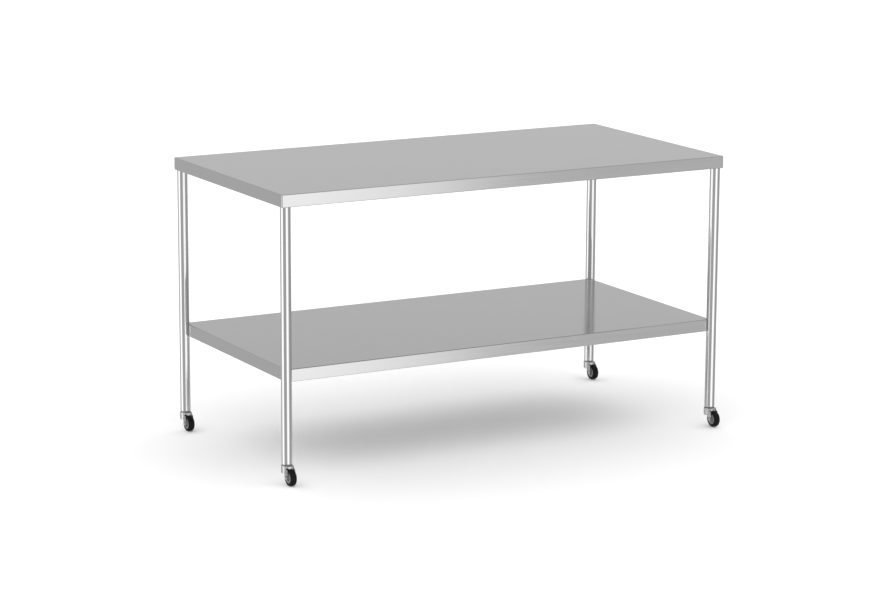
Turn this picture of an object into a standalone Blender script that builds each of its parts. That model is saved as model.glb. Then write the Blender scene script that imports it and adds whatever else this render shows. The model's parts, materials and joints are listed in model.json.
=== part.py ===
"""Stainless work table: folded top, lower shelf, four tube legs and four swivel casters.

Lengths are in metres, +Z is up, the long side runs along X and -Y is the front.
The origin is on the floor, below the middle of the part's own box.
"""
from math import acos, asin, atan2, cos, degrees, hypot, pi, radians, sin

import bmesh
import bpy

# Overall sizes
TABLE_LENGTH = 1.524
TABLE_DEPTH = 0.762
TABLE_HEIGHT = 0.8636
SHELF_HEIGHT = 0.343
SHELF_SETBACK = 0.0015  # from the legs' axes in to the shelf's faces

# Folded sheet of the top and the shelf
SHEET = 0.0015
TOP_EDGE = 0.0381
SHELF_EDGE = 0.0381
BEND_INSIDE = 0.001
CORNER_EASE = 0.0002  # smallest radius left inside a pan's corner
HEM_HEIGHT = 0.0127

# Hat channels that stiffen both decks
CHANNEL_WIDTH = 0.060
CHANNEL_DEPTH = 0.025
CHANNEL_FLANGE = 0.018
CHANNEL_DRAFT = 0.004  # lean of each web
CHANNEL_END_GAP = 0.045  # from the end of a channel to the pan's face
CHANNEL_CLEARANCE = 0.040  # from a gusset to the channel's flange

# Legs and what they are welded to
LEG_DIAMETER = 0.03175
LEG_WALL = 0.0015
GUSSET_SIDE = 0.110
GUSSET_NOSE = 0.030  # width of the plate's blunt ends
GUSSET_THICKNESS = 0.003
SPIGOT_HEIGHT = 0.020
SPIGOT_WALL = 0.004
INSERT_LENGTH = 0.030
INSERT_LEAD = 0.002  # chamfer that leads the plug into the tube

# Caster wheel and axle
WHEEL_DIAMETER = 0.0508
TYRE_DEPTH = 0.0094
TYRE_WIDTH = 0.0206
TYRE_SHOULDER = 0.0065
TYRE_SIDE_INSET = 0.0012  # from the tyre's widest point in to its seat
HUB_WEB = 0.006
HUB_RECESS = 0.0027  # width of the groove between boss and rim
BOSS_WALL = 0.0025
AXLE_DIAMETER = 0.00635
AXLE_HEAD_LAP = 0.0024  # from the shank out to the flats
AXLE_HEAD_HEIGHT = 0.003
AXLE_NUT_HEIGHT = 0.003
AXLE_END = 0.0004  # bolt showing past the nut
SLEEVE_WALL = 0.0012

# Caster fork, swivel race and stem
TRAIL = 0.025  # from the swivel's axis to the axle
FORK_SHEET = 0.0022
WHEEL_SIDE_GAP = 0.0009
CROWN_FLARE = 0.0041  # how far the round back stands out past the arms
CROWN_SIDE = 0.0062  # straight side between the back and the nose
CROWN_LIP = 0.0023  # upright edge below the shoulder
CROWN_CLEARANCE = 0.0029  # from the tyre up to the lip
NOSE_INSIDE = 0.0048
SHOULDER_INSIDE = 0.0018
SKIRT_BACK = 0.021  # depth of the wall behind
SKIRT_FRONT = 0.0265  # depth of the wall where the arms begin
ARM_LAND = 0.0025  # metal round the bolt's head
ARM_SHOULDER_LEAD = 0.002
ARM_SHOULDER_DROP = 0.0055
STEM_DIAMETER = 0.0127
STEM_LENGTH = 0.026
STEM_CHAMFER = 0.0015
KINGPIN_SHOULDER = 0.0018  # step from the stem in to the kingpin
RIVET_LAP = 0.0025  # step from the kingpin out to its head
RIVET_HEIGHT = 0.0025
BALL_DIAMETER = 0.0032
BALL_PROUD = 0.0002  # how far the balls stand above the crown
BALL_COUNT = 6
RACE_LAND = 0.0058  # from the crown's back in to the dished race
RACE_SIDE_GAP = 0.0006
CAGE_WIDTH = 0.002
CAGE_THICKNESS = 0.001
CAP_LAP = 0.0033  # how far the cap reaches past the race
CAP_THICKNESS = 0.0015
CAP_CHAMFER = 0.0005

# Clearance between pieces that touch, and how far a fused wall sits inside its neighbour
GAP = 0.0003
EMBED = 0.00005

# Facets and steps of round pieces, with angles in degrees
LEG_FACETS = 24
TURNED_FACETS = 16
INNER_FACETS = 12
WHEEL_FACETS = 24
BALL_FACETS = 6
BALL_POLE = 75
BEND_STEPS = 3
CORNER_STEPS = 2
ARC_STEPS = 3
BACK_STEPS = 10
SMOOTH_ANGLE = 30

# Places worked out from the sizes above
BEND_OUTSIDE = BEND_INSIDE + SHEET
PAN_CORNER = BEND_INSIDE + 2 * SHEET + CORNER_EASE
LEG_RADIUS = LEG_DIAMETER / 2
LEG_BORE = LEG_RADIUS - LEG_WALL
LEG_INSET = 2 * SHEET + GAP + LEG_RADIUS
LEG_X = TABLE_LENGTH / 2 - LEG_INSET
LEG_Y = TABLE_DEPTH / 2 - LEG_INSET
SHELF_LENGTH = 2 * (LEG_X - SHELF_SETBACK)
SHELF_DEPTH = 2 * (LEG_Y - SHELF_SETBACK)
GUSSET_TOP = TABLE_HEIGHT - SHEET - GAP
GUSSET_EDGE = LEG_RADIUS + SHEET - BEND_INSIDE
LEG_TOP = GUSSET_TOP - GUSSET_THICKNESS - GAP
CHANNEL_EDGE = LEG_Y + GUSSET_EDGE - GUSSET_SIDE - CHANNEL_CLEARANCE
CHANNEL_Y = CHANNEL_EDGE - CHANNEL_FLANGE - CHANNEL_WIDTH / 2

WHEEL_RADIUS = WHEEL_DIAMETER / 2
WHEEL_FLAT = WHEEL_RADIUS * cos(pi / WHEEL_FACETS)
AXLE_HEIGHT = WHEEL_FLAT
TYRE_SEAT = WHEEL_RADIUS - TYRE_DEPTH
FORK_GAP = TYRE_WIDTH / 2 + WHEEL_SIDE_GAP
FORK_HALF = FORK_GAP + FORK_SHEET
CROWN_RADIUS = FORK_HALF + CROWN_FLARE
CROWN_JOIN = (CROWN_RADIUS**2 - FORK_HALF**2) ** 0.5
CROWN_NOSE = FORK_SHEET + NOSE_INSIDE
NOSE_START = CROWN_JOIN + CROWN_SIDE
CROWN_SHOULDER = FORK_SHEET + SHOULDER_INSIDE
LIP_BOTTOM = WHEEL_DIAMETER + CROWN_CLEARANCE
LIP_TOP = LIP_BOTTOM + CROWN_LIP
CROWN_TOP = LIP_TOP + CROWN_SHOULDER
KINGPIN_RADIUS = STEM_DIAMETER / 2 - KINGPIN_SHOULDER
RACE_FLOOR = CROWN_TOP - BALL_DIAMETER + BALL_PROUD
RACE_WALL = CROWN_RADIUS - RACE_LAND
RACE_RADIUS = RACE_WALL - RACE_SIDE_GAP - BALL_DIAMETER / 2
BALL_HEIGHT = RACE_FLOOR + GAP + BALL_DIAMETER / 2
CAP_BOTTOM = RACE_FLOOR + BALL_DIAMETER + 2 * GAP
CAP_TOP = CAP_BOTTOM + CAP_THICKNESS
LEG_BOTTOM = CAP_TOP + GAP
AXLE_HOLE = AXLE_DIAMETER / 2 + GAP
AXLE_HEAD = AXLE_DIAMETER + 2 * AXLE_HEAD_LAP
ARM_BOSS = AXLE_HEAD / 2 + ARM_LAND
SLEEVE_RADIUS = AXLE_HOLE + SLEEVE_WALL
HUB_BORE = SLEEVE_RADIUS + GAP
HUB_BOSS = HUB_BORE + BOSS_WALL

# The front wheels stand out past the top, so the table sits back from the middle of the box.
WHEEL_OVERHANG = TRAIL + WHEEL_FLAT - LEG_INSET
TABLE_SHIFT = WHEEL_OVERHANG / 2

CORNERS = {
    "front_left": (-1, -1),
    "front_right": (1, -1),
    "rear_left": (-1, 1),
    "rear_right": (1, 1),
}


def arc(centre, radius, start, end, steps):
    """Points along an arc in a plane, from one angle to another in degrees."""
    points = []
    for step in range(steps + 1):
        angle = radians(start + (end - start) * step / steps)
        points.append((centre[0] + radius * cos(angle), centre[1] + radius * sin(angle)))
    return points


def tangent_angle(point, centre, radius, side):
    """Angle in degrees where a line from a point touches a circle, on its left (1) or right (-1) side."""
    away = (point[0] - centre[0], point[1] - centre[1])
    return degrees(atan2(away[1], away[0]) + side * acos(radius / hypot(*away)))


def finish(name, colour, roughness, metallic):
    """Principled material in one colour."""
    material = bpy.data.materials.new(name)
    material.use_nodes = True
    shader = material.node_tree.nodes["Principled BSDF"]
    shader.inputs["Base Color"].default_value = (*colour, 1)
    shader.inputs["Roughness"].default_value = roughness
    shader.inputs["Metallic"].default_value = metallic
    return material


def loft(rings, closed=False):
    """Closed mesh through rings of points: joined end to end, or with a flat face on each end."""
    shape = bmesh.new()
    rows = [[shape.verts.new(point) for point in ring] for ring in rings]
    pairs = list(zip(rows, rows[1:]))
    if closed:
        pairs.append((rows[-1], rows[0]))
    else:
        shape.faces.new(rows[0])
        shape.faces.new(rows[-1])
    for lower, upper in pairs:
        for i in range(len(lower)):
            j = (i + 1) % len(lower)
            shape.faces.new((lower[i], lower[j], upper[j], upper[i]))
    bmesh.ops.recalc_face_normals(shape, faces=shape.faces)
    mesh = bpy.data.meshes.new("piece")
    shape.to_mesh(mesh)
    shape.free()
    return mesh


def circle(radius, height, facets, start=0.5):
    """Ring of points round Z, from a part of a step past the Y axis; half a step faces a facet along Y."""
    turn = [pi / 2 + 2 * pi * (i + start) / facets for i in range(facets)]
    return [(radius * cos(angle), radius * sin(angle), height) for angle in turn]


def hexagon(across_flats, height):
    """Ring of points on a hexagon round Z, one at each corner and one in the middle of each side."""
    corners = circle(across_flats / 2 / cos(pi / 6), height, 6, start=0)
    sides = circle(across_flats / 2, height, 6)
    return [point for pair in zip(corners, sides) for point in pair]


def turned(profile, facets, closed=False):
    """Solid turned round Z from (radius, height) points, closed where the profile goes round a bore."""
    return loft([circle(radius, height, facets) for radius, height in profile], closed)


def tube(outer, bore, bottom, top, facets):
    """Plain round tube standing on Z."""
    return turned([(outer, bottom), (outer, top), (bore, top), (bore, bottom)], facets, closed=True)


def prism(outline, low, high, along):
    """Outline pushed straight along X, given as (y, z), or along Z, given as (x, y)."""
    if along == "X":
        return loft([[(level, y, z) for y, z in outline] for level in (low, high)])
    return loft([[(x, y, level) for x, y in outline] for level in (low, high)])


def moved(mesh, x=0, y=0, z=0):
    """The same mesh shifted by a distance along each axis."""
    for vertex in mesh.vertices:
        vertex.co.x += x
        vertex.co.y += y
        vertex.co.z += z
    return mesh


def laid_along_x(mesh):
    """The same mesh with its Z axis turned to lie along X."""
    for vertex in mesh.vertices:
        x, y, z = vertex.co
        vertex.co = (z, x, y)
    return mesh


def combine(base, tool, operation):
    """Mesh of a base after a Boolean with a tool; both meshes are used up."""
    pair = [bpy.data.objects.new("combine", mesh) for mesh in (base, tool)]
    for item in pair:
        bpy.context.collection.objects.link(item)
    boolean = pair[0].modifiers.new("Boolean", "BOOLEAN")
    boolean.operation = operation
    boolean.object = pair[1]
    evaluated = pair[0].evaluated_get(bpy.context.evaluated_depsgraph_get())
    result = bpy.data.meshes.new_from_object(evaluated)
    for item in pair:
        bpy.data.objects.remove(item)
    for mesh in (base, tool):
        bpy.data.meshes.remove(mesh)
    return result


def rim_ring(length, depth, inset, height):
    """Ring of points on a rectangle with eased corners, some way in from the pan's faces."""
    points = []
    for quarter, (sx, sy) in enumerate(((1, 1), (-1, 1), (-1, -1), (1, -1))):
        centre = (sx * (length / 2 - PAN_CORNER), sy * (depth / 2 - PAN_CORNER))
        for x, y in arc(centre, PAN_CORNER - inset, quarter * 90, quarter * 90 + 90, CORNER_STEPS):
            points.append((x, y, height))
    return points


def pan(length, depth, edge, height):
    """Folded sheet with a flat deck, four sides turned down and a closed hem inside their lower edge."""
    bend = (BEND_OUTSIDE, -BEND_OUTSIDE)
    section = arc(bend, BEND_OUTSIDE, 90, 180, BEND_STEPS)
    section += arc((SHEET, SHEET - edge), SHEET, 180, 360, BEND_STEPS + 1)
    section += [(2 * SHEET, HEM_HEIGHT - edge), (SHEET, HEM_HEIGHT - edge)]
    section += arc(bend, BEND_INSIDE, 180, 90, BEND_STEPS)
    return loft([rim_ring(length, depth, inset, height + drop) for inset, drop in section])


def shelf_pan():
    """Shelf with its corners coped round the legs."""
    mesh = pan(SHELF_LENGTH, SHELF_DEPTH, SHELF_EDGE, SHELF_HEIGHT)
    low = SHELF_HEIGHT - SHELF_EDGE - SHEET
    high = SHELF_HEIGHT + SHEET
    for sx, sy in CORNERS.values():
        cope = turned([(LEG_RADIUS + GAP, low), (LEG_RADIUS + GAP, high)], LEG_FACETS)
        mesh = combine(mesh, moved(cope, sx * LEG_X, sy * LEG_Y), "DIFFERENCE")
    return mesh


def hat_channel(length, underside):
    """Hat section with its flanges against a deck's underside, running along X."""
    top = underside - GAP
    half = CHANNEL_WIDTH / 2
    cap = half - CHANNEL_DRAFT
    outer = [
        (half + CHANNEL_FLANGE, top),
        (half + CHANNEL_FLANGE, top - SHEET),
        (half + SHEET, top - SHEET),
        (cap + SHEET, top - CHANNEL_DEPTH),
    ]
    inner = [(cap, top - CHANNEL_DEPTH + SHEET), (half, top)]
    left_outer = [(-y, z) for y, z in reversed(outer)]
    left_inner = [(-y, z) for y, z in reversed(inner)]
    return prism(outer + left_outer + left_inner + inner, -length / 2, length / 2, "X")


def gusset(sx, sy):
    """Corner plate under the top with the spigot that the leg slides onto."""
    edge = GUSSET_EDGE
    far = edge - GUSSET_SIDE
    plate = [
        (edge - PAN_CORNER, edge),
        (far, edge),
        (far, edge - GUSSET_NOSE),
        (edge - GUSSET_NOSE, far),
        (edge, far),
        (edge, edge - PAN_CORNER),
    ]
    bottom = GUSSET_TOP - GUSSET_THICKNESS
    mesh = prism([(sx * x, sy * y) for x, y in plate], bottom, GUSSET_TOP, "Z")
    radius = LEG_BORE - GAP
    spigot = tube(radius, radius - SPIGOT_WALL, bottom - SPIGOT_HEIGHT, bottom + EMBED, TURNED_FACETS)
    return combine(mesh, spigot, "UNION")


def leg_insert():
    """Threaded plug that closes the foot of a leg and takes the caster's stem."""
    radius = LEG_BORE - GAP
    bore = STEM_DIAMETER / 2 + GAP
    top = LEG_BOTTOM + INSERT_LENGTH
    profile = [
        (radius, LEG_BOTTOM),
        (radius, top - INSERT_LEAD),
        (radius - INSERT_LEAD, top),
        (bore, top),
        (bore, LEG_BOTTOM),
    ]
    return turned(profile, INNER_FACETS, closed=True)


def caster_stem():
    """Stem that goes up into the leg, with the kingpin and its riveted head below it."""
    pin = KINGPIN_RADIUS
    rivet = pin + RIVET_LAP
    stem = STEM_DIAMETER / 2
    rivet_top = RACE_FLOOR - FORK_SHEET - GAP
    rivet_bottom = rivet_top - RIVET_HEIGHT
    profile = [
        (pin, rivet_bottom),
        (rivet, rivet_bottom + RIVET_HEIGHT / 2),
        (rivet, rivet_top),
        (pin, rivet_top),
        (pin, LEG_BOTTOM),
        (stem, LEG_BOTTOM),
        (stem, LEG_BOTTOM + STEM_LENGTH - STEM_CHAMFER),
        (stem - STEM_CHAMFER, LEG_BOTTOM + STEM_LENGTH),
    ]
    return turned(profile, INNER_FACETS)


def race_cap():
    """Upper race: the disc between the leg's end and the balls."""
    radius = RACE_WALL + CAP_LAP
    bore = KINGPIN_RADIUS + GAP
    profile = [
        (bore, CAP_BOTTOM),
        (radius - CAP_CHAMFER, CAP_BOTTOM),
        (radius, CAP_BOTTOM + CAP_CHAMFER),
        (radius, CAP_TOP),
        (bore, CAP_TOP),
    ]
    return turned(profile, TURNED_FACETS, closed=True)


def ball_ring():
    """Ring of balls held in a flat cage."""
    inner = RACE_RADIUS - CAGE_WIDTH / 2
    outer = RACE_RADIUS + CAGE_WIDTH / 2
    low = BALL_HEIGHT - CAGE_THICKNESS / 2
    mesh = tube(outer, inner, low, low + CAGE_THICKNESS, BALL_COUNT)
    half_turn = arc((0, 0), BALL_DIAMETER / 2, -BALL_POLE, BALL_POLE, ARC_STEPS)
    for x, y, z in circle(RACE_RADIUS, BALL_HEIGHT, BALL_COUNT):
        mesh = combine(mesh, moved(turned(half_turn, BALL_FACETS), x, y, z), "UNION")
    return mesh


def crown_outline(inset):
    """Plan of the fork's crown: a round back that narrows to a blunt nose over the wheel."""
    radius = CROWN_RADIUS - inset
    half = FORK_HALF - inset
    nose = CROWN_NOSE - inset
    opening = degrees(asin(half / radius))
    front = (half - nose, -NOSE_START)
    points = arc((0, 0), radius, opening - 90, 270 - opening, BACK_STEPS)
    points += arc((-front[0], front[1]), nose, 180, 270, ARC_STEPS)
    points += arc(front, nose, 270, 360, ARC_STEPS)
    return points


def crown_shell():
    """Pressed cap of the fork, open below, with a rounded shoulder."""
    rings = []
    for inset, direction in ((FORK_SHEET, 1), (0, -1)):
        rounding = CROWN_SHOULDER - inset
        centre = (inset + rounding, LIP_TOP)
        shoulder = arc(centre, rounding, 90, 180, BEND_STEPS) + [(inset, LIP_BOTTOM)]
        for offset, height in shoulder[::direction]:
            rings.append([(x, y, height) for x, y in crown_outline(offset)])
    return loft(rings)


def fork_wall():
    """Upright wall of the fork before it is trimmed: round at the back, with two flat arms forward."""
    outer = CROWN_RADIUS - EMBED
    inner = CROWN_RADIUS - FORK_SHEET + EMBED
    arm_outer = FORK_HALF - EMBED
    arm_inner = FORK_GAP + EMBED
    reach = -(TRAIL + 2 * ARM_BOSS)
    open_outer = degrees(asin(arm_outer / outer))
    open_inner = degrees(asin(arm_inner / inner))
    plan = [(arm_outer, reach)]
    plan += arc((0, 0), outer, open_outer - 90, 270 - open_outer, BACK_STEPS)
    plan += [(-arm_outer, reach), (-arm_inner, reach)]
    plan += arc((0, 0), inner, 270 - open_inner, open_inner - 90, BACK_STEPS)
    plan += [(arm_inner, reach)]
    return prism(plan, 0, LIP_BOTTOM + CROWN_LIP / 2, "Z")


def skirt_and_arms():
    """Wall below the crown, trimmed to a sloping skirt and to arms with round ends at the axle."""
    axle = (-TRAIL, AXLE_HEIGHT)
    back = 2 * CROWN_RADIUS
    slope = (SKIRT_FRONT - SKIRT_BACK) / (CROWN_RADIUS + CROWN_JOIN)
    skirt_end = CROWN_TOP - SKIRT_BACK + slope * (back - CROWN_RADIUS)
    notch = (-CROWN_JOIN, CROWN_TOP - SKIRT_FRONT)
    shoulder = (-TRAIL - ARM_SHOULDER_LEAD, LIP_BOTTOM - ARM_SHOULDER_DROP)
    lower = tangent_angle(notch, axle, ARM_BOSS, -1)
    upper = tangent_angle(shoulder, axle, ARM_BOSS, 1)
    side = [(back, CROWN_TOP), (back, skirt_end), notch]
    side += arc(axle, ARM_BOSS, lower, upper - 360, 2 * ARC_STEPS)
    side += [shoulder, (-NOSE_START, LIP_BOTTOM), (-NOSE_START, CROWN_TOP)]
    silhouette = prism(side, -2 * FORK_HALF, 2 * FORK_HALF, "X")
    return combine(fork_wall(), silhouette, "INTERSECT")


def caster_fork():
    """Pressed fork: crown, skirt and arms, a dished race and holes for the kingpin and the axle."""
    mesh = combine(crown_shell(), skirt_and_arms(), "UNION")
    dish = RACE_WALL + FORK_SHEET
    dish_bottom = RACE_FLOOR - FORK_SHEET
    pin = KINGPIN_RADIUS + GAP
    pressed = turned([(dish, dish_bottom), (dish, CROWN_TOP - FORK_SHEET / 2)], TURNED_FACETS)
    mesh = combine(mesh, pressed, "UNION")
    well = turned([(RACE_WALL, RACE_FLOOR), (RACE_WALL, CROWN_TOP + FORK_SHEET)], TURNED_FACETS)
    mesh = combine(mesh, well, "DIFFERENCE")
    hole = turned([(pin, dish_bottom - FORK_SHEET), (pin, RACE_FLOOR + FORK_SHEET)], TURNED_FACETS)
    mesh = combine(mesh, hole, "DIFFERENCE")
    axle = turned([(AXLE_HOLE, -2 * FORK_HALF), (AXLE_HOLE, 2 * FORK_HALF)], TURNED_FACETS)
    return combine(mesh, moved(laid_along_x(axle), y=-TRAIL, z=AXLE_HEIGHT), "DIFFERENCE")


def axle_bolt():
    """Hexagon bolt along X with its head outside the left arm."""
    seat = -FORK_HALF - GAP
    end = FORK_HALF + 2 * GAP + AXLE_NUT_HEIGHT + AXLE_END
    head = [hexagon(AXLE_HEAD, height) for height in (seat - AXLE_HEAD_HEIGHT, seat)]
    shank = [circle(AXLE_DIAMETER / 2, height, len(head[0]), start=0) for height in (seat, end)]
    return laid_along_x(loft(head + shank))


def axle_nut():
    """Hexagon nut on the bolt's end, outside the right arm."""
    low = FORK_HALF + GAP
    high = low + AXLE_NUT_HEIGHT
    flats = [hexagon(AXLE_HEAD, height) for height in (low, high)]
    hole = [circle(AXLE_HOLE, height, len(flats[0]), start=0) for height in (high, low)]
    return laid_along_x(loft(flats + hole, closed=True))


def axle_sleeve():
    """Bush on the axle, the width of the fork's gap."""
    half = FORK_GAP - GAP
    return laid_along_x(tube(SLEEVE_RADIUS, AXLE_HOLE, -half, half, INNER_FACETS))


def wheel_hub():
    """Moulded hub: a bored boss, a thin web and the rim that carries the tyre."""
    boss_half = FORK_GAP - GAP
    recess = HUB_BOSS + HUB_RECESS
    rim = TYRE_SEAT - GAP
    rim_half = TYRE_WIDTH / 2 - TYRE_SIDE_INSET
    web = HUB_WEB / 2
    half = [
        (HUB_BORE, boss_half),
        (HUB_BOSS, boss_half),
        (HUB_BOSS, web),
        (recess, web),
        (recess, rim_half),
        (rim, rim_half),
    ]
    mirrored = [(radius, -height) for radius, height in reversed(half)]
    return laid_along_x(turned(half + mirrored, WHEEL_FACETS, closed=True))


def tyre():
    """Solid rubber tyre with rounded shoulders."""
    half = TYRE_WIDTH / 2
    centre = (half - TYRE_SHOULDER, WHEEL_RADIUS - TYRE_SHOULDER)
    shoulder = [(radius, height) for height, radius in arc(centre, TYRE_SHOULDER, 0, 90, ARC_STEPS)]
    upper = [(TYRE_SEAT, half - TYRE_SIDE_INSET)] + shoulder
    lower = [(radius, -height) for radius, height in reversed(upper)]
    return laid_along_x(turned(upper + lower, WHEEL_FACETS, closed=True))


def empty(name, parent, x=0, y=0, z=0):
    """Plain axis that carries the pieces below it."""
    axis = bpy.data.objects.new(name, None)
    axis.location = (x, y, z)
    axis.parent = parent
    bpy.context.collection.objects.link(axis)
    return axis


def node(name, mesh, material, parent, x=0, y=0):
    """One named piece of the table."""
    mesh.materials.clear()
    mesh.materials.append(material)
    mesh.shade_smooth()
    mesh.set_sharp_from_angle(angle=radians(SMOOTH_ANGLE))
    piece = bpy.data.objects.new(name, mesh)
    piece.location = (x, y, 0)
    piece.parent = parent
    bpy.context.collection.objects.link(piece)
    return piece


def build_decks(table, satin):
    """Top and shelf with their stiffening channels."""
    node("top_panel", pan(TABLE_LENGTH, TABLE_DEPTH, TOP_EDGE, TABLE_HEIGHT), satin, table)
    node("shelf_panel", shelf_pan(), satin, table)
    top_channel = hat_channel(TABLE_LENGTH - 2 * CHANNEL_END_GAP, TABLE_HEIGHT - SHEET)
    shelf_channel = hat_channel(SHELF_LENGTH - 2 * CHANNEL_END_GAP, SHELF_HEIGHT - SHEET)
    for place, side in (("front", -1), ("rear", 1)):
        node(f"top_channel_{place}", top_channel, satin, table, y=side * CHANNEL_Y)
        node(f"shelf_channel_{place}", shelf_channel, satin, table, y=side * CHANNEL_Y)


def build_legs(table, satin, polished, plated):
    """Legs with the gussets above them and the inserts in their feet."""
    leg = tube(LEG_RADIUS, LEG_BORE, LEG_BOTTOM, LEG_TOP, LEG_FACETS)
    insert = leg_insert()
    for corner, (sx, sy) in CORNERS.items():
        x, y = sx * LEG_X, sy * LEG_Y
        node(f"top_gusset_{corner}", gusset(sx, sy), satin, table, x, y)
        node(f"leg_{corner}", leg, polished, table, x, y)
        node(f"leg_insert_{corner}", insert, plated, table, x, y)


def build_casters(table, plated, bearing, hub_grey, rubber):
    """Four casters, each with an axis to swivel on and an axle to roll on."""
    fixed = {"caster_stem": (caster_stem(), plated), "caster_race_cap": (race_cap(), plated)}
    swivelling = {"caster_fork": (caster_fork(), plated), "caster_ball_ring": (ball_ring(), bearing)}
    on_axle = {
        "axle_bolt": (axle_bolt(), plated),
        "axle_nut": (axle_nut(), plated),
        "axle_sleeve": (axle_sleeve(), bearing),
    }
    rolling = {"wheel_hub": (wheel_hub(), hub_grey), "wheel_tyre": (tyre(), rubber)}
    for corner, (sx, sy) in CORNERS.items():
        swivel = empty(f"swivel_axis_{corner}", table, sx * LEG_X, sy * LEG_Y)
        axle = empty(f"axle_axis_{corner}", swivel, y=-TRAIL, z=AXLE_HEIGHT)
        for pieces, parent in ((fixed, swivel), (swivelling, swivel), (on_axle, axle), (rolling, axle)):
            for name, (mesh, material) in pieces.items():
                node(f"{name}_{corner}", mesh, material, parent)


def main():
    for item in list(bpy.data.objects):
        bpy.data.objects.remove(item)
    satin = finish("satin_stainless", (0.50, 0.50, 0.50), 0.32, 1.0)
    polished = finish("polished_stainless", (0.62, 0.62, 0.62), 0.12, 1.0)
    plated = finish("plated_steel", (0.60, 0.60, 0.60), 0.18, 1.0)
    bearing = finish("bearing_steel", (0.45, 0.45, 0.46), 0.25, 1.0)
    hub_grey = finish("grey_nylon", (0.28, 0.28, 0.28), 0.45, 0.0)
    rubber = finish("black_rubber", (0.012, 0.012, 0.012), 0.55, 0.0)
    table = empty("table_axis", None, y=TABLE_SHIFT)
    build_decks(table, satin)
    build_legs(table, satin, polished, plated)
    build_casters(table, plated, bearing, hub_grey, rubber)


main()
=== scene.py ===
import json
from math import acos, asin, atan2, cos, degrees, hypot, pi, radians, sin, tan

import bmesh
import bpy
from bpy.props import FloatProperty, FloatVectorProperty, IntProperty, PointerProperty
from mathutils import Matrix, Vector


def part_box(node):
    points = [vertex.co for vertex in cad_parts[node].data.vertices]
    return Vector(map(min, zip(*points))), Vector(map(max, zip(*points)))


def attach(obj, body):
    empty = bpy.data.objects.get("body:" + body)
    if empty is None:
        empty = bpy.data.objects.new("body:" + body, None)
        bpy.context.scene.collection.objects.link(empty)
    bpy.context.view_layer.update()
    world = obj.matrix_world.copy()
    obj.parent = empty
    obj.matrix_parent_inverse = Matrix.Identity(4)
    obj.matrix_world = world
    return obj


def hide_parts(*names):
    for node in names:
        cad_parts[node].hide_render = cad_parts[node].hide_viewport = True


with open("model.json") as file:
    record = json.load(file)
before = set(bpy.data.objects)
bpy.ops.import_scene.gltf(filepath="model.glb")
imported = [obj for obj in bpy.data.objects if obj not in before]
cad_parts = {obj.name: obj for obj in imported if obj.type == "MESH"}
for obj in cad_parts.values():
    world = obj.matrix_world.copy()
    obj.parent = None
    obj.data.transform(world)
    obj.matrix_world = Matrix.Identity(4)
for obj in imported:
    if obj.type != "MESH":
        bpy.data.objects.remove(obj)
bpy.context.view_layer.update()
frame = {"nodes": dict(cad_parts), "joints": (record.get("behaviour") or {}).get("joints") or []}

bl_info = {
    "name": "Stainless work table",
    "version": (1, 0, 0),
    "blender": (4, 5, 0),
    "location": "3D View > Sidebar > Work table",
    "description": "Finishes the frame of a stainless work table: sheet, tube, welds, casters and studio",
    "category": "Object",
}

# What the frame gives: the boxes of the main pieces and the joints' places
TOP_LOW, TOP_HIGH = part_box("top_panel")
SHELF_LOW, SHELF_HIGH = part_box("shelf_panel")
LEG_LOW, LEG_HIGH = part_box("leg_front_left")
CAP_LOW, CAP_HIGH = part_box("caster_race_cap_front_left")
BALL_LOW, BALL_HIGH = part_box("caster_ball_ring_front_left")
CROWN_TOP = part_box("caster_fork_front_left")[1].z
AXLE_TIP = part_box("axle_bolt_front_left")[1].x
JOINT_PLACES = {joint["name"]: Vector(joint["pos_m"]) for joint in frame["joints"]}

# Each corner of the table, with the way out from its middle along X and Y
CORNERS = {
    "front_left": (-1, -1),
    "front_right": (1, -1),
    "rear_left": (-1, 1),
    "rear_right": (1, 1),
}

# How finely round shapes are cut
BEND_STEPS = 8
CROWN_STEPS = 40
TUBE_SEGMENTS = 96
TURNED_SEGMENTS = 72
HOLE_SEGMENTS = 48

# Edges past this angle stay sharp; flat strips beside folds and corners keep the shading even
SHARP_ANGLE = radians(35)
FOLD_SUPPORT = 0.0006
CORNER_SUPPORT = 1.3

# A tyre's side wall, from its seat: steps out and along the axle that make its moulded ring
WALL_RING = ((0, 0), (0.0009, 0.0002), (0.0011, -0.0002), (0.0016, -0.0002), (0.0018, 0.0004))
# Half the width of the flat beside a tyre's mould line, of the line's foot and of its top
FLASH_WIDTHS = (0.0006, 0.0003, 0.00015)

# Roundings of turned and moulded edges
LIP_INSIDE = 0.0002
CRISP_EDGE = 0.0003
BOSS_EDGE = 0.0005
RIM_EDGE = 0.0006
GROOVE_CORNER = 0.0008

# Studio panels: degrees round from the camera's side to the right, and the level there
PANELS = (
    (-180, 0.675),
    (-100, 0.675),
    (-94, 1.9),
    (-53, 1.9),
    (-47, 0.60),
    (10, 0.60),
    (17, 1.9),
    (53, 1.82),
    (55, 1.68),
    (57.8, 1.50),
    (58.3, 0.80),
    (59.3, 0.70),
    (61.5, 0.79),
    (66, 0.78),
    (82, 0.52),
    (112, 0.52),
    (130, 0.675),
    (180, 0.675),
)
PANEL_SCALE = 2.5
# Plain reaches above and below the panels: the sines of elevation where each begins, its level and its share
REACHES = (
    ((0.03, 0.12), 0.675, 0.65),
    ((0.20, 0.27), 0.61, 1.0),
    ((0.55, 0.85), 0.60, 1.0),
    ((-0.50, -0.70), 0.45, 1.0),
)
# Ring of soft light overhead: sines of elevation and the level there
SOFT_RING = (
    (0.0, 0.0),
    (0.32, 0.04),
    (0.46, 0.7),
    (0.6, 1.55),
    (0.7, 1.72),
    (0.8, 1.6),
    (0.9, 1.22),
    (1.0, 0.36),
)
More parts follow.
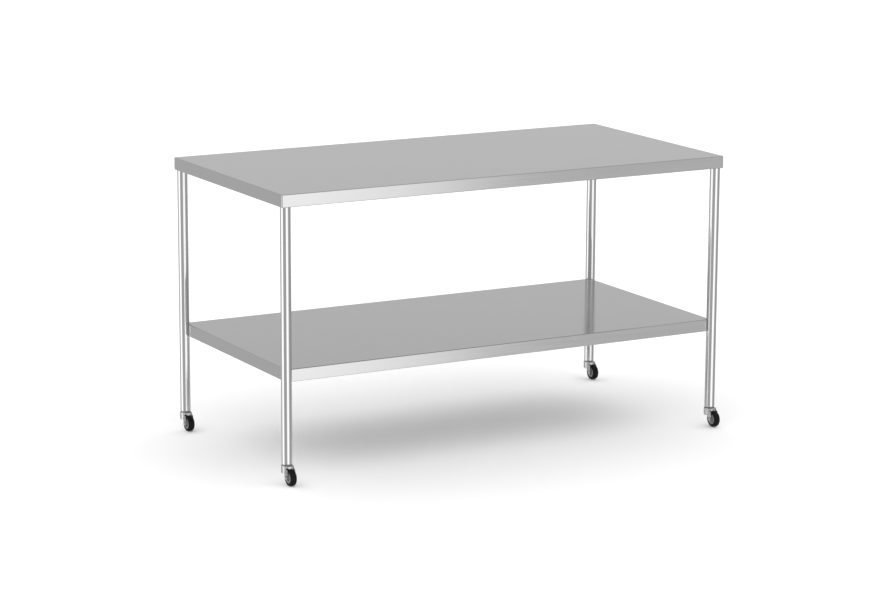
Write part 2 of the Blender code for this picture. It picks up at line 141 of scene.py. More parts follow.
# Where the shade below the table fades out, along its length and its depth from the middle
SHADE_LENGTH = (0.85, 0.60)
SHADE_DEPTH = (0.50, 0.25)
FLOOR_REACH = 60.0
WHITE = (1, 1, 1, 1)


def number(name, description, default, **kind):
    """Property for a number."""
    return FloatProperty(name=name, description=description, default=default, **kind)


def length(name, description, default):
    """Property for a length in metres."""
    return number(name, description, default, unit="LENGTH", precision=5)


def rotation(name, description, default):
    """Property for an angle in radians."""
    return number(name, description, default, subtype="ANGLE")


def colour(name, description, default):
    """Property for a linear colour."""
    return FloatVectorProperty(name=name, description=description, default=default, subtype="COLOR", size=3)


class SheetSizes(bpy.types.PropertyGroup):
    """Folded sheet of the top, the shelf and their channels."""
    sheet: length("Sheet", "Thickness of the sheet", 0.0015)
    bend: length("Bend", "Inside radius of a fold", 0.001)
    corner: length("Corner", "Radius of a pan's upright corners", 0.0042)
    hem: length("Hem", "Height of the closed hem inside a pan's edge", 0.0127)
    leg_gap: length("Leg gap", "Clearance between the sheet and a leg", 0.0003)
    channel_flange: length("Channel flange", "Width of each flange of a hat channel", 0.018)
    channel_draft: length("Channel draft", "Lean of each web of a hat channel", 0.004)
    channel_bend: length("Channel bend", "Inside radius of a channel's folds", 0.0015)
    spot_pitch: length("Spot pitch", "Distance between the spot welds of a flange", 0.05)
    spot_radius: length("Spot radius", "Radius of the mark that a spot weld leaves", 0.003)
    spot_height: length("Spot height", "How far that mark stands below the flange", 0.0004)


class LegSizes(bpy.types.PropertyGroup):
    """Tube legs, the gussets above them and their welds."""
    diameter: length("Diameter", "Outside diameter of the tube", 0.03175)
    wall: length("Wall", "Wall of the tube", 0.0015)
    end_round: length("End round", "Rounding of the tube's ends", 0.0004)
    gusset_nose: length("Gusset nose", "Width of a gusset's blunt ends", 0.030)
    gusset_clip: length("Gusset clip", "Cut across a gusset's outer corner", 0.004)
    gusset_plate: length("Gusset plate", "Thickness of a gusset's plate", 0.003)
    gusset_ease: length("Gusset ease", "Rounding of a gusset's edges", 0.0004)
    spigot_gap: length("Spigot gap", "Clearance between a spigot and the leg's bore", 0.0003)
    spigot_wall: length("Spigot wall", "Wall of the spigot inside a leg's head", 0.004)
    spigot_round: length("Spigot round", "Rounding of a spigot's lower end", 0.0008)
    weld_radius: length("Weld radius", "Radius of a weld bead", 0.0008)
    weld_pitch: length("Weld pitch", "Distance between the ripples of a weld bead", 0.0014)
    weld_foot: length("Weld foot", "From the shelf's lower edge up to the end of a bead", 0.002)
    weld_ripple: number("Weld ripple", "Height of the ripples against the bead", 0.14, subtype="FACTOR")


class CasterSizes(bpy.types.PropertyGroup):
    """Fork, swivel, axle and wheel of a caster."""
    fork_sheet: length("Fork sheet", "Thickness of the fork's sheet", 0.0022)
    fork_half: length("Fork half", "From the middle of the fork to the outside of an arm", 0.0134)
    crown_flare: length("Crown flare", "How far the round back stands out past the arms", 0.0041)
    crown_side: length("Crown side", "Straight side between the back and the nose", 0.0062)
    crown_lip: length("Crown lip", "Upright edge below the shoulder", 0.0023)
    nose_inside: length("Nose inside", "Inside radius of the nose's corners", 0.0048)
    shoulder_inside: length("Shoulder inside", "Inside radius of the shoulder", 0.0018)
    skirt_back: length("Skirt back", "Depth of the wall behind", 0.021)
    skirt_front: length("Skirt front", "Depth of the wall where the arms begin", 0.0265)
    arm_boss: length("Arm boss", "Radius of an arm's round end", 0.008075)
    arm_lead: length("Arm lead", "How far an arm's shoulder stands ahead of the axle", 0.002)
    arm_drop: length("Arm drop", "From the crown's lip down to an arm's shoulder", 0.0055)
    cap_lip: length("Cap lip", "Width of the lip that keeps dust out of the swivel", 0.0012)
    lip_gap: length("Lip gap", "Clearance between the cap's lip and the fork's crown", 0.00025)
    race_land: length("Race land", "From the crown's back in to the dished race", 0.0058)
    race_depth: length("Race depth", "Depth of the dished race below the crown", 0.003)
    race_gap: length("Race gap", "Clearance between the balls and the race's wall", 0.0006)
    kingpin: length("Kingpin", "Radius of the hole for the kingpin", 0.00485)
    edge_ease: length("Edge ease", "Rounding of the pressed edges", 0.00035)
    axle_radius: length("Axle radius", "Radius of the axle's shank", 0.003175)
    axle_hole: length("Axle hole", "Radius of the holes that the axle goes through", 0.003475)
    head_gap: length("Head gap", "Clearance between the fork and the heads on it", 0.0003)
    head_flats: length("Head flats", "Width across the flats of the bolt and the nut", 0.01115)
    head_height: length("Head height", "Height of the bolt's head and of the nut", 0.003)
    tyre_seat: length("Tyre seat", "Radius at which the tyre sits on the hub", 0.016)
    tyre_half: length("Tyre half", "Half the tyre's width", 0.0103)
    tyre_shoulder: length("Tyre shoulder", "Rounding of the tyre's shoulders", 0.0065)
    tyre_inset: length("Tyre inset", "From the tyre's widest point in to its seat", 0.0012)
    tyre_flash: length("Tyre flash", "Height of the line that the mould leaves", 0.00012)
    hub_bore: length("Hub bore", "Radius of the hub's bore", 0.004975)
    hub_boss: length("Hub boss", "Radius of the hub's boss", 0.007475)
    hub_recess: length("Hub recess", "Radius of the groove round the boss", 0.010175)
    hub_web: length("Hub web", "Half the thickness of the hub's web", 0.003)
    boss_half: length("Boss half", "Half the length of the hub's boss", 0.0109)
    ball_radius: length("Ball radius", "Radius of a ball in the swivel", 0.0016)
    ball_count: IntProperty(name="Ball count", description="Balls in each swivel", default=16, min=3)


class FinishColours(bpy.types.PropertyGroup):
    """Linear colours of the finishes."""
    sheet: colour("Sheet", "Satin sheet", (0.50, 0.50, 0.50))
    tube: colour("Tube", "Polished tube", (0.55, 0.55, 0.55))
    plate: colour("Plate", "Bright plating", (0.44, 0.44, 0.44))
    bearing: colour("Bearing", "Plain bearing steel", (0.60, 0.60, 0.61))
    weld: colour("Weld", "Brushed weld bead", (0.42, 0.42, 0.41))
    nylon: colour("Nylon", "Moulded hub", (0.36, 0.36, 0.36))
    rubber: colour("Rubber", "Solid tyre", (0.006, 0.006, 0.006))
    floor: colour("Floor", "Pale floor", (0.94, 0.94, 0.94))


class StudioSettings(bpy.types.PropertyGroup):
    """Camera and light of the studio."""
    place: FloatVectorProperty(
        name="Camera place", description="Where the camera stands", default=(-4.39145, -7.85615, 2.32351),
        subtype="TRANSLATION", unit="LENGTH",
    )
    yaw: rotation("Yaw", "Turn of the view from +Y towards +X", 0.50448)
    pitch: rotation("Pitch", "Tilt of the view below the horizon", 0.21008)
    roll: rotation("Roll", "Turn of the picture about the view", 0.00428)
    lens: number("Lens", "Focal length in millimetres", 121.534)
    floor_glow: number("Floor glow", "Part of the floor's white that no shadow reaches", 0.19)


def arc(centre, radius, start, end, steps):
    """Points along an arc in a plane, from one angle to another in degrees."""
    angles = [radians(start + (end - start) * step / steps) for step in range(steps + 1)]
    return [(centre[0] + radius * cos(angle), centre[1] + radius * sin(angle)) for angle in angles]


def rounded(corners, steps=BEND_STEPS):
    """Closed outline through (x, y, radius) corners: an arc at each one, with a flat support beside it."""
    outline = []
    for i, (x, y, radius) in enumerate(corners):
        if radius == 0:
            outline.append((x, y))
            continue
        here = Vector((x, y))
        back = (Vector(corners[i - 1][:2]) - here).normalized()
        ahead = (Vector(corners[(i + 1) % len(corners)][:2]) - here).normalized()
        half = acos(max(-1, min(1, back.dot(ahead)))) / 2
        reach = radius / tan(half)
        centre = here + (back + ahead).normalized() * (radius / sin(half))
        first = here + back * reach - centre
        last = here + ahead * reach - centre
        start = degrees(atan2(first.y, first.x))
        turn = (degrees(atan2(last.y, last.x)) - start + 180) % 360 - 180
        outline.append(tuple(here + back * reach * CORNER_SUPPORT))
        outline += arc(centre, radius, start, start + turn, steps)
        outline.append(tuple(here + ahead * reach * CORNER_SUPPORT))
    return outline


def faced_out(mesh):
    """The same mesh with every face pointing out and its round parts shaded smooth."""
    shape = bmesh.new()
    shape.from_mesh(mesh)
    bmesh.ops.recalc_face_normals(shape, faces=shape.faces)
    shape.to_mesh(mesh)
    shape.free()
    mesh.shade_smooth()
    mesh.set_sharp_from_angle(angle=SHARP_ANGLE)
    return mesh


def lofted(rings, closed=False):
    """Mesh through rings of points: joined end to end, or with a flat face on each end."""
    size = len(rings[0])
    count = len(rings)
    faces = []
    for row in range(count if closed else count - 1):
        low = row * size
        high = (row + 1) % count * size
        for i in range(size):
            j = (i + 1) % size
            faces.append((low + i, low + j, high + j, high + i))
    if not closed:
        faces.append(tuple(range(size)))
        faces.append(tuple(range((count - 1) * size, count * size)))
    mesh = bpy.data.meshes.new("shape")
    mesh.from_pydata([point for ring in rings for point in ring], [], faces)
    return faced_out(mesh)


def turned(profile, segments=TURNED_SEGMENTS, closed=True):
    """Piece turned round Z from (radius, height) points."""
    half_step = 180 / segments
    circle = arc((0, 0), 1, half_step, 360 + half_step, segments)[:-1]
    rings = [[(radius * x, radius * y, height) for x, y in circle] for radius, height in profile]
    return lofted(rings, closed)


def bar(radius, low, high, segments=HOLE_SEGMENTS):
    """Plain round bar along Z, to join or cut with."""
    return turned([(radius, low), (radius, high)], segments, closed=False)


def prism(outline, low, high, along="Z"):
    """Outline pushed straight along Z, given as (x, y), or along X, given as (y, z)."""
    if along == "X":
        return lofted([[(level, y, z) for y, z in outline] for level in (low, high)])
    return lofted([[(x, y, level) for x, y in outline] for level in (low, high)])


def placed(mesh, x=0.0, y=0.0, z=0.0, along_x=False):
    """Copy of a mesh shifted to a place, with its Z axis laid along X first if asked."""
    copy = mesh.copy()
    if along_x:
        copy.transform(Matrix(((0, 0, 1, 0), (1, 0, 0, 0), (0, 1, 0, 0), (0, 0, 0, 1))))
    copy.transform(Matrix.Translation((x, y, z)))
    return copy


def merged(*meshes):
    """One mesh that holds several."""
    shape = bmesh.new()
    for mesh in meshes:
        shape.from_mesh(mesh)
    result = bpy.data.meshes.new("shape")
    shape.to_mesh(result)
    shape.free()
    return faced_out(result)


def combined(base, tool, operation):
    """Mesh of a base after a Boolean with a tool."""
    pair = [bpy.data.objects.new("combine", mesh) for mesh in (base, tool)]
    for item in pair:
        bpy.context.scene.collection.objects.link(item)
    boolean = pair[0].modifiers.new("Boolean", "BOOLEAN")
    boolean.operation = operation
    boolean.object = pair[1]
    evaluated = pair[0].evaluated_get(bpy.context.evaluated_depsgraph_get())
    result = bpy.data.meshes.new_from_object(evaluated)
    for item in pair:
        bpy.data.objects.remove(item)
    return faced_out(result)


def eased(mesh, width):
    """The same mesh with its sharp edges rounded."""
    touching = 1e-6
    flat = radians(0.5)
    shape = bmesh.new()
    shape.from_mesh(mesh)
    bmesh.ops.remove_doubles(shape, verts=shape.verts, dist=touching)
    bmesh.ops.dissolve_limit(shape, angle_limit=flat, verts=shape.verts, edges=shape.edges)
    sharp = [edge for edge in shape.edges if edge.is_manifold and edge.calc_face_angle(0) > SHARP_ANGLE]
    bmesh.ops.bevel(
        shape, geom=sharp, offset=width, offset_type="OFFSET", segments=3, profile=0.5,
        affect="EDGES", clamp_overlap=True,
    )
    bmesh.ops.remove_doubles(shape, verts=shape.verts, dist=touching)
    shape.to_mesh(mesh)
    shape.free()
    return faced_out(mesh)


def stems():
    """Each corner with the place of its swivel's axis."""
    for corner in CORNERS:
        yield corner, *JOINT_PLACES[f"swivel_{corner}"].xy


def add_piece(name, mesh, look, body, *nodes):
    """Puts a finished mesh in the scene, riding on a body, in place of nodes of the frame."""
    mesh.materials.clear()
    mesh.materials.append(look())
    piece = bpy.data.objects.new(name, mesh)
    bpy.context.scene.collection.objects.link(piece)
    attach(piece, body)
    if nodes:
        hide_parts(*nodes)


def dress(node, look):
    """Gives a node of the frame that stays its finish."""
    for slot in frame["nodes"][node].material_slots:
        slot.material = look()


class Value:
    """A number in a node tree; sums on it add Math nodes."""

    def __init__(self, graph, socket):
        self.graph = graph
        self.socket = socket

    def __add__(self, other):
        return self.graph.math("ADD", self, other)

    __radd__ = __add__

    def __sub__(self, other):
        return self.graph.math("SUBTRACT", self, other)

    def __rsub__(self, other):
        return self.graph.math("SUBTRACT", other, self)

    def __mul__(self, other):
        return self.graph.math("MULTIPLY", self, other)

    __rmul__ = __mul__

    def __truediv__(self, other):
        return self.graph.math("DIVIDE", self, other)

    def __abs__(self):
        return self.graph.math("ABSOLUTE", self)


class Graph:
    """Nodes of one tree, added call by call."""

    def __init__(self, tree):
        self.tree = tree
        tree.nodes.clear()

    def feed(self, socket, value):
        """Links or sets one input."""
        source = value.socket if isinstance(value, Value) else value
        if isinstance(source, bpy.types.NodeSocket):
            self.tree.links.new(source, socket)
        else:
            socket.default_value = source

    def node(self, kind, sockets=None, **settings):
        """Outputs of a new node: its settings come first, then what each socket is set or linked to."""
        node = self.tree.nodes.new(kind)
        for name, setting in settings.items():
            if name == "stops":
                set_stops(node.color_ramp, setting)
            else:
                setattr(node, name, setting)
        for name, value in (sockets or {}).items():
            for source in value if isinstance(value, list) else [value]:
                self.feed(pick(node.inputs, name), source)
        return node.outputs

    def math(self, operation, *terms):
        """Value of a Math node."""
        sockets = dict(zip(("Value", "Value_001"), terms))
        return Value(self, self.node("ShaderNodeMath", sockets, operation=operation)[0])

    def split(self, vector):
        """The three numbers of a vector."""
        return [Value(self, socket) for socket in self.node("ShaderNodeSeparateXYZ", {"Vector": vector})]

    def join(self, x, y, z):
        """Vector of three numbers."""
        return self.node("ShaderNodeCombineXYZ", {"X": x, "Y": y, "Z": z})[0]

    def noise(self, vector, scale, detail, turn=0.0):
        """Noise that swings evenly about 0: one scale, or one for each axis after a turn about Z."""
        if isinstance(scale, tuple):
            mapping = {"Vector": vector, "Scale": scale, "Rotation": (0, 0, turn)}
            return self.noise(self.node("ShaderNodeMapping", mapping)[0], 1.0, detail)
        sockets = {"Vector": vector, "Scale": scale, "Detail": detail}
        return Value(self, self.node("ShaderNodeTexNoise", sockets)[0]) - 0.5

    def step(self, value, low, high):
        """Smooth step from 0 at one number to 1 at another."""
        sockets = {"Value": value, "From Min": low, "From Max": high}
        return Value(self, self.node("ShaderNodeMapRange", sockets, interpolation_type="SMOOTHSTEP")[0])

    def mix(self, factor, first, second):
        """Colour between two colours."""
        sockets = {"Factor_Float": factor, "A_Color": rgba(first), "B_Color": rgba(second)}
        return pick(self.node("ShaderNodeMix", sockets, data_type="RGBA"), "Result_Color")

    def tone(self, factor, tint, dark, light):
        """Colour between a darker and a lighter tone of a tint."""
        return self.mix(factor, [channel * dark for channel in tint], [channel * light for channel in tint])

    def blend(self, factor, first, second):
        """Shader between two shaders."""
        return self.node("ShaderNodeMixShader", {"Fac": factor, "Shader": first, "Shader_001": second})[0]

    def bump(self, height, strength, distance):
        """Normal bent by a height."""
        return self.node("ShaderNodeBump", {"Height": height, "Strength": strength, "Distance": distance})[0]


def pick(sockets, name):
    """The socket in use that has a name or an identifier."""
    return next(socket for socket in sockets if socket.enabled and name in (socket.identifier, socket.name))


def rgba(value):
    """Colour with its fourth number, or the socket that was given."""
    return value if isinstance(value, bpy.types.NodeSocket) else (*value, 1.0)


def set_stops(ramp, stops):
    """Places a ramp's stops, each a position and a grey level."""
    while len(ramp.elements) > 1:
        ramp.elements.remove(ramp.elements[-1])
    for i, (position, level) in enumerate(stops):
        element = ramp.elements[0] if i == 0 else ramp.elements.new(position)
        element.position = position
        element.color = (level, level, level, 1)


def finish(tint, slot, **constants):
    """Turns a function that gives a colour, a roughness and a normal into one that hands out a material."""
    def wrap(surface):
        def fetch():
            name = surface.__name__
            return bpy.data.materials.get(name) or painted(name, tint, surface, constants)
        fetch.slot = slot
        return fetch
    return wrap


def painted(name, tint, surface, constants):
    """New material, from a surface worked out over the piece's own coordinates and constant inputs."""
    material, graph = new_material(name)
    place = graph.node("ShaderNodeTexCoord")["Object"]
    base, rough, normal = surface(graph, getattr(bpy.context.scene.table_colours, tint), place)
    sockets = {"Base Color": base, "Roughness": rough, "Normal": normal, **constants}
    shader = graph.node("ShaderNodeBsdfPrincipled", sockets)[0]
    graph.node("ShaderNodeOutputMaterial", {"Surface": shader})
    return material


def new_material(name):
    """New material and its graph."""
    material = bpy.data.materials.new(name)
    material.use_nodes = True
    return material, Graph(material.node_tree)


@finish("sheet", "satin_stainless", Metallic=1.0)
def brushed_sheet(graph, tint, place):
    """Satin sheet: grain along the table that turns down over both ends, fine scratches and rubbed folds."""
    along = 9
    across = 1100
    x, y, z = graph.split(place)
    facing_x = graph.split(graph.node("ShaderNodeTexCoord")["Normal"])[0]
    end = graph.step(abs(facing_x), 0.5, 0.9)
    upright = across * (1 - end) + along * end
    grain = graph.noise(graph.join(x * along, y * across, z * upright), 1.0, 3.0)
    streak = graph.noise(graph.join(x * 2.5, y * 170, z * (upright * 0.15)), 1.0, 2.0)
    smudge = graph.noise(place, 4.0, 3.0)
    scratch = graph.noise(place, (5, 420, 420), 1.0, radians(11))
    scratched = 1 - graph.step(abs(scratch), 0.0, 0.012)
    rub = Value(graph, graph.node("ShaderNodeAttribute", attribute_name="rub")["Fac"])
    light = 0.5 + 0.7 * grain + 0.5 * streak + 0.12 * scratched + 0.3 * rub
    rough = 0.11 + 0.08 * grain + 0.04 * streak + 0.04 * smudge + 0.04 * scratched - 0.02 * rub
    return graph.tone(light, tint, 0.95, 1.05), rough, graph.bump(grain + 0.4 * scratched, 0.12, 0.00002)


@finish("tube", "polished_stainless", Metallic=1.0)
def polished_tube(graph, tint, place):
    """Polished tube: faint drawing lines up its length, wiping marks and scuffs near the floor."""
    height = graph.split(place)[2]
    lines = graph.noise(place, (900, 900, 5), 3.0)
    wiped = graph.noise(place, (30, 30, 12), 3.0)
    scuff = graph.noise(place, (220, 220, 60), 4.0)
    scuffed = graph.step(scuff, 0.10, 0.22) * (1 - graph.step(height, 0.08, 0.24))
    base = graph.tone(0.5 + 0.8 * lines + 0.3 * wiped, tint, 0.96, 1.04)
    rough = 0.09 + 0.05 * lines + 0.04 * wiped + 0.12 * scuffed
    return base, rough, graph.bump(lines + 0.6 * scuffed, 0.08, 0.00001)


@finish("plate", "plated_steel", Metallic=1.0)
def bright_plate(graph, tint, place):
    """Plated pressing: a slight ripple under the plating, cloudy patches and fine handling marks."""
    ripple = graph.noise(place, 260.0, 3.0)
    cloud = graph.noise(place, 55.0, 3.0)
    handled = graph.noise(place, (900, 240, 900), 2.0, radians(24))
    marks = 1 - graph.step(abs(handled), 0.0, 0.02)
    base = graph.tone(0.5 + 0.8 * cloud - 0.2 * marks, tint, 0.92, 1.06)
    rough = 0.17 + 0.10 * cloud + 0.06 * ripple + 0.08 * marks
    return base, rough, graph.bump(ripple + 0.3 * marks, 0.10, 0.00006)


@finish("bearing", "bearing_steel", Metallic=1.0)
def bearing_steel(graph, tint, place):
    """Plain ground steel with an oily bloom."""
    bloom = graph.noise(place, 90.0, 3.0)
    ground = graph.noise(place, (700, 700, 2600), 2.0)
    rough = 0.24 + 0.12 * bloom + 0.08 * ground
    return graph.tone(0.5 + bloom, tint, 0.85, 1.08), rough, graph.bump(ground, 0.1, 0.00002)


@finish("weld", "satin_stainless", Metallic=1.0)
def weld_bead(graph, tint, place):
    """Weld bead brushed clean, with a little heat tint left in its ripples."""
    heat = graph.noise(place, 240.0, 3.0)
    brushed = graph.noise(place, 1800.0, 2.0)
    warm = (tint[0] * 0.95, tint[1] * 0.86, tint[2] * 0.74)
    base = graph.mix(graph.step(heat, 0.02, 0.25), tint, warm)
    return base, 0.30 + 0.14 * heat + 0.10 * brushed, graph.bump(brushed, 0.2, 0.00005)


@finish("nylon", "grey_nylon")
def moulded_nylon(graph, tint, place):
    """Grey nylon with a fine moulded grain and faint flow marks."""
    flow = graph.noise(place, (60, 140, 140), 3.0)
    grain = graph.noise(place, 2200.0, 2.0)
    rough = 0.46 + 0.10 * grain + 0.08 * flow
    return graph.tone(0.5 + flow, tint, 0.88, 1.10), rough, graph.bump(grain, 0.25, 0.00004)


@finish("rubber", "black_rubber", **{"Specular IOR Level": 0.15})
def tyre_rubber(graph, tint, place):
    """Black rubber with a fine skin and a little floor dust."""
    dust = graph.step(graph.noise(place, 130.0, 4.0), 0.05, 0.35)
    skin = graph.noise(place, 1700.0, 3.0)
    rough = 0.55 + 0.16 * dust + 0.10 * skin
    return graph.tone(dust, tint, 1.0, 2.0), rough, graph.bump(skin, 0.3, 0.00005)


def white_floor(tint, glow):
    """Pale floor: white to the camera where no shadow falls, and only a shade to bright metal."""
    material, graph = new_material("white_floor")
    sockets = {"Base Color": rgba(tint), "Roughness": 0.9, "Specular IOR Level": 0.0}
    plain = graph.node("ShaderNodeBsdfPrincipled", sockets)[0]
    glowing = graph.node("ShaderNodeEmission", {"Color": WHITE, "Strength": glow})[0]
    pale = graph.node("ShaderNodeAddShader", {"Shader": plain, "Shader_001": glowing})[0]
    clear = graph.node("ShaderNodeBsdfTransparent")[0]
    x, y, _ = graph.split(graph.node("ShaderNodeTexCoord")["Object"])
    shade = graph.step(abs(x), *SHADE_LENGTH) * graph.step(abs(y), *SHADE_DEPTH)
    path = graph.node("ShaderNodeLightPath")
    seen = graph.blend(path["Is Camera Ray"], plain, pale)
    mirrored = graph.blend(shade, clear, pale)
    shown = graph.blend(path["Is Glossy Ray"], seen, mirrored)
    graph.node("ShaderNodeOutputMaterial", {"Surface": shown})
    return material


def studio_world(yaw):
    """Soft light from above, a ring of tall panels for shiny surfaces and plain white for the camera."""
    world = bpy.data.worlds.new("studio")
    world.use_nodes = True
    graph = Graph(world.node_tree)
    x, y, z = graph.split(graph.node("ShaderNodeTexCoord")["Generated"])
    forward = -sin(yaw) * x - cos(yaw) * y
    right = cos(yaw) * x - sin(yaw) * y
    around = graph.math("ARCTAN2", right, forward) / (2 * pi) + 0.5
    stops = [((turn + 180) / 360, level / PANEL_SCALE) for turn, level in PANELS]
    mirrored = graph.node("ShaderNodeValToRGB", {"Fac": around}, stops=stops)[0]
    for start, level, share in REACHES:
        mirrored = graph.mix(share * graph.step(z, *start), mirrored, (level / PANEL_SCALE,) * 3)
    stops = [(height, level / PANEL_SCALE) for height, level in SOFT_RING]
    soft = graph.node("ShaderNodeValToRGB", {"Fac": z}, stops=stops)[0]
    path = graph.node("ShaderNodeLightPath")
    shown = graph.mix(path["Is Glossy Ray"], soft, mirrored)
    lit = graph.node("ShaderNodeBackground", {"Color": shown, "Strength": PANEL_SCALE})[0]
    white = graph.node("ShaderNodeBackground", {"Color": WHITE, "Strength": 1.0})[0]
    backdrop = graph.blend(path["Is Camera Ray"], lit, white)
    graph.node("ShaderNodeOutputWorld", {"Surface": backdrop})
    return world


class WORKTABLE_OT_stage(bpy.types.Operator):
    """Sets up the pale floor, the studio's soft panels and the camera"""
    bl_idname = "work_table.stage"
    bl_label = "Studio"

    def execute(self, context):
        scene = context.scene
        studio = scene.table_studio
        mesh = bpy.data.meshes.new("floor")
        square = [(FLOOR_REACH * x, FLOOR_REACH * y, 0) for x, y in ((-1, -1), (1, -1), (1, 1), (-1, 1))]
        mesh.from_pydata(square, [], [(0, 1, 2, 3)])
        mesh.materials.append(white_floor(scene.table_colours.floor, studio.floor_glow))
        floor = bpy.data.objects.new("floor", mesh)
        scene.collection.objects.link(floor)
        scene.world = studio_world(studio.yaw)
        lens = bpy.data.cameras.new("camera")
        lens.sensor_width = 36.0
        lens.lens = studio.lens
        lens.clip_end = 200.0
        camera = bpy.data.objects.new("camera", lens)
        turn = Matrix.Rotation(-studio.yaw, 4, "Z") @ Matrix.Rotation(pi / 2 - studio.pitch, 4, "X")
        camera.matrix_world = Matrix.Translation(studio.place) @ turn @ Matrix.Rotation(studio.roll, 4, "Z")
        scene.collection.objects.link(camera)
        scene.camera = camera
        scene.view_settings.view_transform = "Standard"
        return {"FINISHED"}


def planted(grow, lengths):
    """New geometry tree that grows something along lines, with named inputs for lengths and finish."""
    tree = bpy.data.node_groups.new(grow.__name__, "GeometryNodeTree")
    kinds = {"Geometry": "Geometry", **dict.fromkeys(lengths, "Float"), "Finish": "Material"}
    for title, kind in kinds.items():
        tree.interface.new_socket(title, in_out="INPUT", socket_type=f"NodeSocket{kind}")
    tree.interface.new_socket("Geometry", in_out="OUTPUT", socket_type="NodeSocketGeometry")
    graph = Graph(tree)
    inputs = {socket.name: Value(graph, socket) for socket in graph.node("NodeGroupInput")}
    curve = graph.node("GeometryNodeMeshToCurve", {"Mesh": inputs["Geometry"]})[0]
    growth = grow(graph, curve, *(inputs[title] for title in lengths))
    real = graph.node("GeometryNodeRealizeInstances", {"Geometry": growth})[0]
    dressed = graph.node("GeometryNodeSetMaterial", {"Geometry": real, "Material": inputs["Finish"]})[0]
    graph.node("NodeGroupOutput", {"Geometry": dressed})
    return tree


def grown(lines, grow, look, lengths):
    """Plain mesh that a node tree grows along lines of points."""
    points = []
    edges = []
    for line in lines:
        edges += [(len(points) + i, len(points) + i + 1) for i in range(len(line) - 1)]
        points += line
    paths = bpy.data.meshes.new("paths")
    paths.from_pydata(points, edges, [])
    host = bpy.data.objects.new("paths", paths)
    bpy.context.scene.collection.objects.link(host)
    modifier = host.modifiers.new("Grow", "NODES")
    modifier.node_group = bpy.data.node_groups.get(grow.__name__) or planted(grow, lengths)
    values = {**lengths, "Finish": look()}
    for item in modifier.node_group.interface.items_tree:
        if item.in_out == "INPUT" and item.name in values:
            modifier[item.identifier] = values[item.name]
    evaluated = host.evaluated_get(bpy.context.evaluated_depsgraph_get())
    mesh = bpy.data.meshes.new_from_object(evaluated)
    host.modifiers.remove(modifier)
    bpy.data.objects.remove(host)
    return faced_out(mesh)


def spot_welds(graph, curve, pitch, radius, height):
    """Low round marks that hang below a flange, one at each pitch."""
    sockets = {"Curve": curve, "Length": pitch}
    spots = graph.node("GeometryNodeCurveToPoints", sockets, mode="LENGTH")["Points"]
    sockets = {"Vertices": 20, "Radius Top": radius, "Radius Bottom": radius * 0.7, "Depth": height}
    mark = graph.node("GeometryNodeMeshCone", sockets)["Mesh"]
    drop = graph.join(0.0, 0.0, height * -1)
    hung = graph.node("GeometryNodeTransform", {"Geometry": mark, "Translation": drop})[0]
    return graph.node("GeometryNodeInstanceOnPoints", {"Points": spots, "Instance": hung})[0]


def rippled_bead(graph, curve, radius, pitch, ripple):
    """Round bead that swells at each pitch."""
    sockets = {"Curve": curve, "Length": pitch / 6}
    path = graph.node("GeometryNodeResampleCurve", sockets, mode="LENGTH")[0]
    along = Value(graph, graph.node("GeometryNodeSplineParameter")["Length"])
    wave = graph.math("SINE", along * (2 * pi) / pitch)
    profile = graph.node("GeometryNodeCurvePrimitiveCircle", {"Resolution": 10, "Radius": 1.0})[0]
    swell = radius * (1 + ripple * wave)
    sockets = {"Curve": path, "Profile Curve": profile, "Scale": swell, "Fill Caps": True}
    return graph.node("GeometryNodeCurveToMesh", sockets)[0]


def ball_ring(graph, curve, radius, pitch):
    """Balls, one at each pitch, with the flat cage that spaces them."""
    sockets = {"Curve": curve, "Length": pitch}
    path = graph.node("GeometryNodeResampleCurve", sockets, mode="LENGTH")[0]
    ball = graph.node("GeometryNodeMeshUVSphere", {"Segments": 16, "Rings": 10, "Radius": radius})[0]
    balls = graph.node("GeometryNodeInstanceOnPoints", {"Points": path, "Instance": ball})[0]
    sockets = {"Width": radius * 1.2, "Height": radius * 0.5}
    strip = graph.node("GeometryNodeCurvePrimitiveQuadrilateral", sockets)[0]
    sockets = {"Curve": curve, "Profile Curve": strip, "Fill Caps": True}
    cage = graph.node("GeometryNodeCurveToMesh", sockets)[0]
    return graph.node("GeometryNodeJoinGeometry", {"Geometry": [balls, cage]})[0]


def rim(low, high, inset, height, corner):
    """Ring of points on a rectangle with round corners, some way in from a pan's faces."""
    outline = []
    for quarter, (sx, sy) in enumerate(((1, 1), (-1, 1), (-1, -1), (1, -1))):
        x = high.x - corner if sx > 0 else low.x + corner
        y = high.y - corner if sy > 0 else low.y + corner
        points = arc((x, y), corner - inset, quarter * 90, quarter * 90 + 90, BEND_STEPS)
        start = quarter * pi / 2
        before, after = (Vector((-sin(turn), cos(turn))) * FOLD_SUPPORT for turn in (start, start + pi / 2))
        outline.append(tuple(Vector(points[0]) - before))
        outline += points
        outline.append(tuple(Vector(points[-1]) + after))
    return [(x, y, height) for x, y in outline]


def pan(low, high, sizes):
    """Folded sheet with a flat deck, four sides turned down and a closed hem inside their lower edge."""
    sheet = sizes.sheet
    outside = sizes.bend + sheet
    edge = high.z - low.z
    bend = (outside, -outside)
    fold_end = -outside - FOLD_SUPPORT
    hem_start = sheet - edge + FOLD_SUPPORT
    hem_end = sizes.hem - edge
    section = [(outside + FOLD_SUPPORT, 0)]
    section += arc(bend, outside, 90, 180, BEND_STEPS)
    section += [(0, fold_end), (0, hem_start)]
    section += arc((sheet, sheet - edge), sheet, 180, 360, BEND_STEPS)
    section += [(2 * sheet, hem_start), (2 * sheet, hem_end), (sheet, hem_end), (sheet, fold_end)]
    section += arc(bend, sizes.bend, 180, 90, BEND_STEPS)
    section += [(outside + FOLD_SUPPORT, -sheet)]
    return lofted([rim(low, high, inset, high.z + drop, sizes.corner) for inset, drop in section])


